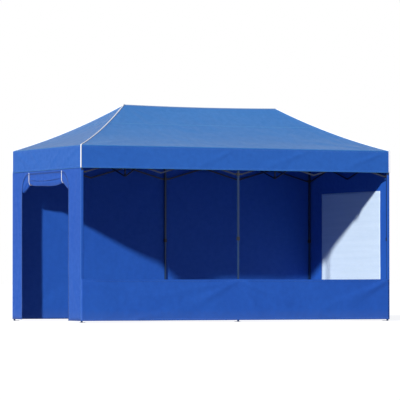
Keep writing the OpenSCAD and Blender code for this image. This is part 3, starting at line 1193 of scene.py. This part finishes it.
@dataclass
class PlainWall:
    """A hanging wall on a long side, with hems and creases."""

    sizes: Sizes
    side: Side
    name: str
    node: str
    body: str
    high: float
    creases: tuple[Crease, ...]
    supports: tuple[float, ...] = ()
    droop: float = 0.0
    trim: Finish = Finish.WALL
    hem: float = 0.034
    seed: int = 0
    calm_above: float = 2.60
    broad_wave: float = 0.0040
    fine_wave: float = 0.0014
    slack: float = 0.002

    @property
    def half(self) -> float:
        """Half the length of the wall."""
        return self.sizes.wall_x - 0.0025

    def top(self, along: Points) -> Points:
        """Height of the top edge, which droops between its supports."""
        drop = np.zeros_like(along)
        for low, high in zip(self.supports, self.supports[1:]):
            share = np.clip((along - low) / (high - low), 0, 1)
            drop = drop + 4 * share * (1 - share)
        return self.high - self.droop * drop

    def relief(self, along: Points, z: Points) -> Points:
        """How far the cloth stands out of its plane."""
        leg = self.sizes.leg_x
        legs = np.min([np.abs(along - x) for x in (-leg, 0.0, leg)], axis=0)
        free = np.clip((legs - 0.02) / 0.25, 0, 1)
        calm = np.clip((self.calm_above - z) / 0.12, 0, 1)
        ends = np.clip((self.half - np.abs(along)) / 0.06, 0, 1)
        folds = sum(c.relief(along, z) for c in self.creases)
        wave = self.broad_wave * ripple(along, z, 0.9, self.seed, 2.2)
        wave = wave + self.fine_wave * ripple(along, z, 0.22, self.seed + 1, 1.5)
        return ends * calm * (folds * (0.3 + 0.7 * free) + (wave + self.slack) * free)

    def points(self, along: Points, share: Points, lift: float = 0.0) -> tuple[Points, Points]:
        """Points of the wall's outer face at a share of its height."""
        along, share = np.broadcast_arrays(along, share)
        low = self.sizes.wall_low
        z = low + (self.top(along) - low) * share
        out = self.sizes.wall_y + self.relief(along, z) + lift
        return self.side.place(along, out, z), join(along, z)

    def build(self) -> None:
        """Makes the wall, its hems and stitches."""
        tall, outward = self.high - self.sizes.wall_low, self.side.outward
        along = stations(-self.half, self.half, 0.034)
        share = stations(0.0, 1.0, 0.034 / tall)
        points, uv = self.points(along[None, :], share[:, None])
        cloth = cloth_sheet(self.name, points, uv, outward, Finish.WALL)
        near = np.linspace(-self.half + 0.002, self.half - 0.002, 220)
        pieces, lines = [], []
        tape, roll = tape_section(self.hem, 0.0013), round_section(0.0045, 8)
        for word, place, inset in (("top", 1.0, -1), ("bottom", 0.0, 1)):
            line = self.points(near, place + inset * self.hem / 2 / tall, -0.0003)[0]
            pieces.append(sweep(f"{self.name}_{word}_hem", line, outward, tape, self.trim))
            stitch = place + inset * (self.hem - 0.005) / tall
            lines.append(self.points(near, stitch, 0.0013)[0])
        line = self.points(near, 1.0, -0.0005)[0]
        pieces.append(sweep(f"{self.name}_top_cord", line, outward, roll, self.trim))
        pieces.append(SEAM_STITCH.along(f"{self.name}_stitches", lines, outward))
        for piece in (cloth, *pieces):
            Carrier(self.body, self.side, -self.sizes.half_y).carry(piece)
        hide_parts(self.node)


@dataclass
class HalfWallStraps:
    """Hook and loop straps that hold the half wall to the front legs."""

    sizes: Sizes
    width: float = 0.030
    reach: float = 0.0145
    squareness: float = 0.35

    def build(self) -> None:
        """Makes a pair of straps on each front leg."""
        places = (
            ("left", -1, "front_left_outer_leg"),
            ("mid", 0, "front_mid_post_and_cover"),
            ("right", 1, "front_right_outer_leg"),
        )
        turn = np.linspace(0, 2 * math.pi, 40, endpoint=False)
        across, depth = (
            np.sign(wave) * np.abs(wave) ** self.squareness for wave in (np.cos(turn), np.sin(turn))
        )
        back, front = -self.sizes.leg_y + self.reach, -self.sizes.wall_y + 0.0012
        y = (back + front) / 2 + (back - front) / 2 * depth
        section = tape_section(self.width, 0.0010)
        for side, place, body in places:
            x = place * self.sizes.leg_x + self.reach * across
            for word, z in (("low", 0.0875), ("high", self.sizes.half_wall_high - 0.0325)):
                path = join(x, y, z)
                out = path - path.mean(0)
                wide = np.concatenate([out[-1:], out, out[:1]])
                name = f"half_wall_strap_{side}_{word}"
                strap = sweep(name, path, wide, section, Finish.STRAP, True)
                Carrier(body).carry(strap)


@dataclass
class EndWall:
    """Shared parts of the two three metre end walls."""

    sizes: Sizes
    side: Side
    body: str
    hem: float = 0.034
    calm_above: float = 2.58
    seed: int = 90
    creases: tuple[Crease, ...] = ()
    broad_wave: float = 0.0036
    fine_wave: float = 0.0012
    slack: float = 0.0015

    @property
    def half(self) -> float:
        """Half the width of the wall."""
        return self.sizes.wall_y - 0.0002

    @property
    def out(self) -> float:
        """Distance of the wall's outer face from the middle."""
        return self.sizes.wall_x

    def relief(self, along: Points, z: Points) -> Points:
        """How far the cloth stands out of its plane."""
        legs = np.abs(np.abs(along) - self.sizes.leg_y)
        free = np.clip((legs - 0.03) / 0.22, 0, 1)
        calm = np.clip((self.calm_above - z) / 0.12, 0, 1)
        folds = sum((c.relief(along, z) for c in self.creases), np.zeros_like(along))
        wave = self.broad_wave * ripple(along, z, 0.8, self.seed, 2.4)
        wave = wave + self.fine_wave * ripple(along, z, 0.2, self.seed + 1)
        return calm * free * (folds + wave + self.slack)

    def face(self, along: Points, z: Points, lift: float = 0.0) -> Points:
        """Points of the outer face."""
        along, z = np.broadcast_arrays(along, z)
        return self.side.place(along, self.out + self.relief(along, z) + lift, z)

    def carry(self, piece: Piece, slot: str = "wall_cloth") -> None:
        """Sets a piece on the wall's body."""
        Carrier(self.body, self.side, -self.sizes.half_y).carry(piece)

    def hang(self, cloth: Piece, trim: list[Piece], hole: float) -> None:
        """Sets the wall and its trim on its body and hides the imported end walls.

        Args:
            cloth: the wall's own sheet.
            trim: the pieces sewn to it.
            hole: area of the opening in it; not used.
        """
        for piece in (cloth, *trim):
            self.carry(piece)
        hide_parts("end_walls")

    def ring(self, name: str, outer: Points, inner: Points, closed: bool) -> Piece:
        """Makes the cloth between the wall's outline and its opening.

        Args:
            name: the piece's name.
            outer: outline places, along and up.
            inner: as many places round the opening.
            closed: True where the opening is closed all round.

        Returns:
            The cloth.
        """
        share = np.concatenate([[0.0, 0.012], np.linspace(0.05, 0.95, 17), [0.988, 1.0]])
        flat = inner[None] + (outer - inner)[None] * share[:, None, None]
        points = self.face(flat[..., 0], flat[..., 1])
        return cloth_sheet(name, points, flat, self.side.outward, Finish.WALL, closed)

    def edges(self, name: str) -> list[Piece]:
        """Makes the bound edges, the hem at the top and the flap over the front leg."""
        low, high, outward = self.sizes.wall_low, self.sizes.wall_high, self.side.outward
        z = np.linspace(low, high, 90)
        made = []
        for word, sign in (("front", -1), ("back", 1)):
            line = self.face(sign * (self.half - 0.003), z, -0.0005)
            section = round_section(0.0042, 8)
            made.append(sweep(f"{name}_{word}_edge", line, outward, section, Finish.HEM))
        z = np.linspace(low, self.calm_above, len(z))
        line = self.side.place(-(self.sizes.leg_y + 0.0224), self.out - 0.0245, z)
        section = tape_section(0.046, 0.0007)
        made.append(sweep(f"{name}_leg_flap", line, (0.0, -1.0, 0.0), section, Finish.WALL))
        y = np.linspace(-self.half, self.half, 120)
        line = self.face(y, high - self.hem / 2, -0.0003)
        section = tape_section(self.hem, 0.0010)
        made.append(sweep(f"{name}_top_hem", line, outward, section, Finish.HEM))
        return made


def corner_path(y0: float, y1: float, low: float, high: float, radius: float, each: int) -> Points:
    """An upside down U: up one side, over two corners and down the other.

    Args:
        y0: place of the first side.
        y1: place of the other side.
        low: height of its feet.
        high: height of its top.
        radius: radius of the corners.
        each: points on each straight stretch.

    Returns:
        The places, along and up.
    """
    up = join(y0, np.linspace(low, high - radius, each))
    turn = np.linspace(math.pi, math.pi / 2, each // 2 + 2)[1:-1]
    rise = high - radius + radius * np.sin(turn)
    left = join(y0 + radius + radius * np.cos(turn), rise)
    over = join(np.linspace(y0 + radius, y1 - radius, each), high)
    right = join(y1 - radius - radius * np.cos(turn), rise)
    return np.concatenate([up, left, over, right[::-1], up[::-1] * (0, 1) + (y1, 0)])


@dataclass
class DoorWall(EndWall):
    """The left wall, with its doorway, zip and rolled up door."""

    door_y0: float = -0.978
    door_y1: float = 1.072
    door_top: float = 2.570
    door_round: float = 0.300
    each: int = 44
    roll_turns: float = 8.6
    roll_x: float = 0.0305
    roll_z: float = 0.094
    roll_drop: float = 0.103
    roll_sag: float = 0.028
    roll_core: float = 0.135
    end_fall: float = 0.60
    end_taper: float = 2.1
    tied_share: float = 0.76
    loose_turns: float = 1.6
    roll_inset: float = 0.0345
    tie_inset: float = 0.0345
    head_length: float = 0.10
    door_length: float = 2.55
    ties: tuple[float, float] = (-0.673, 0.767)

    def doorway(self, grow: float = 0.0) -> Points:
        """Outline of the doorway, grown by some distance."""
        return corner_path(
            self.door_y0 - grow,
            self.door_y1 + grow,
            self.sizes.wall_low,
            self.door_top + grow,
            self.door_round + grow,
            self.each,
        )

    def wall(self) -> None:
        """Makes the cloth round the doorway."""
        outer = corner_path(
            -self.half, self.half, self.sizes.wall_low, self.sizes.wall_high, 0.02, self.each
        )
        cloth = self.ring("door_wall", outer, self.doorway(), False)
        opening = (self.door_y1 - self.door_y0) * (self.door_top - self.sizes.wall_low)
        self.hang(cloth, self.edges("door_wall") + self.zip(), opening)

    def zip(self) -> list[Piece]:
        """Makes the zip tape round the doorway, its teeth and its hem."""
        out = self.side.outward
        line = self.face(*self.doorway(0.010).T)
        tape = sweep("door_zip_tape", line, out, tape_section(0.022, 0.0012), Finish.ZIP_TAPE)
        line = self.face(*self.doorway(0.034).T, -0.0002)
        hem = sweep("door_wall_hem", line, out, tape_section(0.026, 0.0009), Finish.WALL)
        line = self.face(*self.doorway(0.001).T, 0.0012)
        teeth = ZIP_TOOTH.along("door_zip_teeth", [line], out)
        lines = [self.face(*self.doorway(grow).T, 0.0011) for grow in (0.023, 0.044)]
        return [tape, hem, teeth, SEAM_STITCH.along("door_wall_stitches", lines, out)]

    def bundle_shape(self, y: Points) -> tuple[Points, Points, Points]:
        """Size of the rolled door along its length.

        Args:
            y: places along the roll.

        Returns:
            The height of its middle, its share of full size, and how free it is of ties.
        """
        first, last = self.ties
        middle, span = (first + last) / 2, (last - first) / 2
        share = (y - middle) / span
        inside = np.clip(1 - share**2, 0, 1)
        past = np.clip((np.abs(share) - 1) * span, 0, None)
        near = np.min([np.abs(y - t) for t in self.ties], axis=0)
        free = 1 - np.exp(-((near / 0.10) ** 2))
        z = self.door_top - self.roll_drop - self.roll_sag * inside - self.end_fall * past
        size = (self.tied_share + (1 - self.tied_share) * free) * (1 - self.end_taper * past)
        return z, size, free

    def door_head(self, y: Points, first: Points) -> Points:
        """Cloth that runs down from the top of the doorway into the roll.

        Args:
            y: places along the roll.
            first: the roll's first row of points.

        Returns:
            Rows of points from the doorway's edge to the roll.
        """
        radius = self.door_round
        over = np.clip(radius - np.minimum(y - self.door_y0, self.door_y1 - y), 0, radius - 0.001)
        top = self.door_top - radius + np.sqrt(radius**2 - over**2) - 0.002
        down = np.linspace(0, 1, 12, endpoint=False)[:, None]
        z = top + (first[:, 2] - top) * down
        behind = self.sizes.wall_x - 0.0030
        x = behind + (np.abs(first[:, 0]) - behind) * down
        near = np.min([np.abs(y - t) for t in self.ties], axis=0)
        pull = np.exp(-near / 0.16) * np.sin(55.0 * near + 9.0 * down)
        folds = 0.5 + 0.5 * np.sin(17.0 * y + 6.0 * down) * np.cos(5.0 * y - 4.0 * down)
        x = x - 0.011 * np.sin(math.pi * down) * (np.abs(pull) + 0.5 * folds)
        return self.side.place(y, x, z)

    def rolled_door(self) -> None:
        """Makes the door as one sheet, which hangs from the doorway and is rolled up."""
        y = stations(self.door_y0 + 0.001, self.door_y1 - 0.001, 0.021, self.ties)[None, :]
        turn = np.linspace(0, self.roll_turns, round(self.roll_turns * 36))[:, None]
        angle = 2 * math.pi * turn
        z_mid, size, free = self.bundle_shape(y)
        layer = 1 - (1 - self.roll_core) * turn / self.roll_turns
        outer = np.exp(-turn / self.loose_turns)
        ridges = 0.10 * np.cos(3 * angle + 5.0 * y) + 0.07 * np.cos(5 * angle - 3.1 * y + 1.0)
        pinch = 0.16 * np.cos(9 * angle + 0.6) * (1 - free)
        swell = 0.05 * ripple(y + 0 * angle, angle * 0.05, 0.22, 17)
        radius = layer * (1 + outer * (ridges * free + pinch + swell))
        x = self.sizes.wall_x - self.roll_inset
        x = x + self.roll_x * np.cos(angle) * np.clip(radius, 0, 1.02)
        z = z_mid + self.roll_z * size * np.sin(angle) * radius
        roll = self.side.place(y, x, z)
        head = self.door_head(y[0], roll[0])
        points = np.concatenate([head, roll])
        above = np.linspace(-self.head_length, 0, len(head), endpoint=False)
        rolled = (self.door_length - self.head_length) * turn[:, 0] / self.roll_turns
        length = np.concatenate([above, rolled])
        uv = join(y, length[:, None])
        faces = grid_faces(*points.shape[:2])
        points, uv = points.reshape(-1, 3), uv.reshape(-1, 2)
        piece = make_piece("rolled_door", points, faces, uv, Finish.WALL)
        self.carry(piece)

    def tie_straps(self) -> None:
        """Makes the two white ties, sewn to both faces above the doorway."""
        outer = self.sizes.wall_x + 0.0013
        inner = self.sizes.wall_x - self.roll_inset - self.tie_inset
        anchor, back = self.door_top + 0.030, self.sizes.wall_x - 0.0045
        middle, half = (outer + inner) / 2, (outer - inner) / 2
        turn, rise = np.linspace(0, math.pi, 30), np.linspace(0, 1, 16)[1:]
        section = tape_section(0.024, 0.0012)
        for word, y in zip(("front", "back"), self.ties):
            z_mid, size, _ = self.bundle_shape(np.array([y]))
            low, deep = float(z_mid[0]), self.roll_z * float(size[0]) * 1.12 + 0.004
            lean = inner + rise**3 * (back - inner)
            out = [np.full(12, outer), middle + half * np.cos(turn), lean]
            down = np.linspace(anchor, low, 12, endpoint=False)
            z = [down, low - deep * np.sin(turn), low + rise * (anchor - low)]
            path = self.side.place(y, np.concatenate(out), np.concatenate(z))
            wide = np.gradient(path, axis=0)[:, [2, 1, 0]] * (-1, 0, 1)
            tie = sweep(f"door_tie_{word}", path, wide, section, Finish.BINDING)
            self.carry(tie, "webbing")

    def build(self) -> None:
        """Makes the door wall."""
        self.wall()
        self.rolled_door()
        self.tie_straps()


@dataclass
class WindowWall(EndWall):
    """The right wall, with its net window."""

    pane_y0: float = -1.148
    pane_y1: float = 1.012
    pane_low: float = 0.620
    pane_high: float = 2.285
    overlap: float = 0.025

    def rectangle(self, y0: float, y1: float, low: float, high: float, each: int = 40) -> Points:
        """Outline of a rectangle, as places along and up, without its last point."""
        corners = ((y0, low), (y1, low), (y1, high), (y0, high), (y0, low))
        pairs = zip(corners, corners[1:])
        return np.concatenate([np.linspace(a, b, each, endpoint=False) for a, b in pairs])

    def pane(self, grow: float = 0.0) -> tuple[float, float, float, float]:
        """Both ends, foot and top of the window, grown by some distance."""
        low, high = self.pane_low - grow, self.pane_high + grow
        return self.pane_y0 - grow, self.pane_y1 + grow, low, high

    def wall(self) -> None:
        """Makes the cloth round the window."""
        outer = self.rectangle(-self.half, self.half, self.sizes.wall_low, self.sizes.wall_high)
        cloth = self.ring("window_wall", outer, self.rectangle(*self.pane()), True)
        hole = (self.pane_y1 - self.pane_y0) * (self.pane_high - self.pane_low)
        self.hang(cloth, self.edges("window_wall") + self.border(), hole)

    def border(self) -> list[Piece]:
        """Makes the sewn frame round the net and its stitches."""
        out = self.side.outward
        path = self.face(*self.rectangle(*self.pane(0.020)).T, -0.0003)
        band = sweep("window_border", path, out, tape_section(0.030, 0.0011), Finish.HEM, True)
        lines = []
        for grow in (0.010, 0.031):
            line = self.rectangle(*self.pane(grow))
            lines.append(self.face(*np.concatenate([line, line[:1]]).T, 0.0012))
        return [band, SEAM_STITCH.along("window_stitches", lines, out)]

    def net(self) -> None:
        """Makes the net, which lies on the inside of the wall."""
        y0, y1, low, high = self.pane(self.overlap)
        y, z = stations(y0, y1, 0.04)[None, :], stations(low, high, 0.04)[:, None]
        points = self.face(y, z, -0.0016)
        uv = join(y, z)
        outward = self.side.outward
        pane = cloth_sheet("window_net", points, uv, outward, Finish.NET, thickness=0.0006)
        self.carry(pane)

    def build(self) -> None:
        """Makes the window wall."""
        self.wall()
        self.net()


# ---- frame finishes and studio --------------------------------------------


class FrameFinishes:
    """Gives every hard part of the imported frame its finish."""

    def pick(self, node: str) -> Finish:
        """Chooses a node's finish from its name."""
        endings = {
            "outer_leg": Finish.LEG,
            "inner_leg": Finish.INNER,
            "slider": Finish.FITTING,
            "connector": Finish.FITTING,
            "eave_tab": Finish.TAB,
        }
        return next((f for word, f in endings.items() if node.endswith(word)), Finish.BAR)

    def dress(self) -> None:
        """Puts the finishes on the nodes that stay in view."""
        for name, node in sorted(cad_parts.items()):
            if node.hide_render:
                continue
            finish = self.pick(name)
            node.data.materials.clear()
            node.data.materials.append(finish.material)
            LOG.info("%s is finished as %s", name, finish.value.name)


@dataclass
class Studio:
    """Camera, low sun, white surroundings and a pale floor."""

    eye: tuple[float, float, float] = (-24.446, -50.324, 0.722)
    heading: tuple[float, float] = (0.4367, 0.8996)
    pitch: float = 1.454
    lens: float = 283.6
    sun_way: tuple[float, float, float] = (1.31, 1.0, -0.63)
    sun_power: float = 3.9
    sun_size: float = 2.5
    ambient: float = 0.15
    sky: Colour = (0.55, 0.72, 1.35)
    floor_half: float = 400.0
    floor_height: float = -0.001

    def camera(self) -> None:
        """Makes the camera and sets it as the scene's."""
        data = bpy.data.cameras.new("camera")
        data.lens, data.sensor_width = self.lens, 36.0
        data.clip_start, data.clip_end = 1.0, 2000.0
        data.dof.use_dof = False
        camera = add_object("camera", data)
        camera.location = self.eye
        rise = math.radians(self.pitch)
        way = Vector((*(c * math.cos(rise) for c in self.heading), math.sin(rise)))
        camera.rotation_mode = "QUATERNION"
        camera.rotation_quaternion = way.to_track_quat("-Z", "Y")
        bpy.context.scene.camera = camera

    def light(self) -> None:
        """Makes the sun and the white world, which lights cloth only softly."""
        data = bpy.data.lights.new("sun", "SUN")
        data.energy, data.angle = self.sun_power, math.radians(self.sun_size)
        data.color = (1.0, 0.985, 0.96)
        sun = add_object("sun", data)
        sun.rotation_mode = "QUATERNION"
        sun.rotation_quaternion = Vector(self.sun_way).to_track_quat("-Z", "Y")
        world = bpy.data.worlds.new("studio")
        bpy.context.scene.world = world
        world.use_nodes = True
        nodes, links = world.node_tree.nodes, world.node_tree.links
        nodes.clear()
        path, level = nodes.new("ShaderNodeLightPath"), nodes.new("ShaderNodeMapRange")
        glow, output = nodes.new("ShaderNodeBackground"), nodes.new("ShaderNodeOutputWorld")
        level.inputs[3].default_value, level.inputs[4].default_value = 1.0, self.ambient
        links.new(path.outputs["Is Diffuse Ray"], level.inputs[0])
        links.new(level.outputs[0], glow.inputs["Strength"])
        tint = nodes.new("ShaderNodeMix")
        tint.data_type = "RGBA"
        tint.inputs[6].default_value = (1.0, 1.0, 1.0, 1.0)
        tint.inputs[7].default_value = (*self.sky, 1.0)
        links.new(path.outputs["Is Diffuse Ray"], tint.inputs[0])
        links.new(tint.outputs[2], glow.inputs["Color"])
        links.new(glow.outputs[0], output.inputs["Surface"])
        if hasattr(world, "cycles"):
            world.cycles.sampling_method = "NONE"
        bpy.context.scene.view_settings.view_transform = "Standard"

    def floor(self) -> None:
        """Makes the pale floor, which takes only a faint shadow."""
        half = self.floor_half
        mesh = bpy.data.meshes.new("floor")
        signs = ((-1, -1), (1, -1), (1, 1), (-1, 1))
        corners = [(x * half, y * half, self.floor_height) for x, y in signs]
        mesh.from_pydata(corners, [], [(0, 1, 2, 3)])
        material = bpy.data.materials.new("pale_floor")
        material.use_nodes = True
        shader = material.node_tree.nodes["Principled BSDF"]
        for name, value in (
            ("Base Color", (0.30, 0.30, 0.30, 1.0)),
            ("Roughness", 1.0),
            ("Specular IOR Level", 0.0),
            ("Emission Color", (1.0, 1.0, 1.0, 1.0)),
            ("Emission Strength", 0.88),
        ):
            shader.inputs[name].default_value = value
        if hasattr(material, "cycles"):
            material.cycles.emission_sampling = "NONE"
        mesh.materials.append(material)
        floor = add_object("floor", mesh)
        floor.visible_diffuse = False

    def build(self) -> None:
        """Makes the whole studio."""
        self.camera()
        self.light()
        self.floor()


# ---- the gazebo -----------------------------------------------------------

HALF_WALL_CREASES = crease_rows(
    (-2.93, 0.70, -2.05, 0.22, 0.060, 0.013),
    (-2.93, 0.70, -1.40, 0.40, 0.055, 0.008),
    (-0.03, 0.70, -0.95, 0.26, 0.060, 0.013),
    (-0.03, 0.70, -1.55, 0.46, 0.050, 0.007),
    (0.03, 0.70, 0.95, 0.30, 0.060, 0.014),
    (0.03, 0.70, 1.55, 0.16, 0.055, 0.011),
    (0.03, 0.69, 0.42, 0.10, 0.050, 0.008),
    (2.93, 0.70, 2.15, 0.30, 0.060, 0.014),
    (2.93, 0.70, 1.65, 0.22, 0.055, 0.011),
    (-1.95, 0.06, -1.10, 0.20, 0.060, 0.007),
    (1.95, 0.06, 1.15, 0.18, 0.060, 0.007),
)
BACK_WALL_CREASES = crease_rows(
    (-2.90, 2.55, -1.90, 1.55, 0.090, 0.010),
    (-0.05, 2.55, -0.85, 1.60, 0.090, 0.010),
    (0.05, 2.55, 0.95, 1.45, 0.090, 0.010),
    (2.90, 2.55, 2.05, 1.40, 0.090, 0.010),
    (-1.48, 2.56, -1.55, 1.20, 0.080, 0.008),
    (1.48, 2.56, 1.40, 1.10, 0.080, 0.008),
    (-2.90, 0.10, -1.80, 0.80, 0.100, 0.009),
    (2.90, 0.10, 1.90, 0.85, 0.100, 0.009),
    (0.05, 0.08, 0.80, 0.70, 0.090, 0.007),
    (-0.05, 0.08, -0.90, 0.75, 0.090, 0.007),
)
DOOR_WALL_CREASES = crease_rows(
    (-1.40, 2.50, -1.12, 1.60, 0.050, 0.006),
    (-1.42, 0.10, -1.08, 0.90, 0.050, 0.006),
    (1.40, 2.50, 1.18, 1.50, 0.050, 0.006),
    (1.42, 0.10, 1.16, 0.95, 0.050, 0.006),
)
WINDOW_WALL_CREASES = crease_rows(
    (-1.40, 2.50, -1.20, 1.50, 0.050, 0.006),
    (1.40, 2.50, 1.10, 2.20, 0.050, 0.006),
    (-1.42, 0.06, -0.50, 0.45, 0.060, 0.009),
    (1.42, 0.06, 0.45, 0.42, 0.060, 0.009),
    (-0.10, 0.60, 0.30, 0.10, 0.060, 0.006),
)


def main() -> None:
    """Builds the studio, the cover, the walls and the frame's finishes."""
    logging.basicConfig(level=logging.INFO, format="%(message)s")
    sizes = Sizes.from_frame()
    leg, mid = sizes.leg_x, sizes.leg_x / 2
    Studio().build()
    RoofCover(sizes).build()
    PlainWall(
        sizes,
        Side.FRONT,
        "half_wall",
        "front_half_wall",
        "front_mid_post_and_cover",
        sizes.half_wall_high,
        HALF_WALL_CREASES,
        (-leg, 0.0, leg),
        0.006,
        seed=11,
    ).build()
    HalfWallStraps(sizes).build()
    PlainWall(
        sizes,
        Side.BACK,
        "rear_wall",
        "back_wall",
        "back_mid_outer_leg",
        sizes.wall_high,
        BACK_WALL_CREASES,
        (-leg, -mid, 0.0, mid, leg),
        0.165,
        trim=Finish.HEM,
        seed=23,
    ).build()
    DoorWall(sizes, Side.LEFT, "front_left_outer_leg", creases=DOOR_WALL_CREASES).build()
    right = "front_right_outer_leg"
    WindowWall(sizes, Side.RIGHT, right, seed=71, creases=WINDOW_WALL_CREASES).build()
    FrameFinishes().dress()


if __name__ == "__main__":
    main()
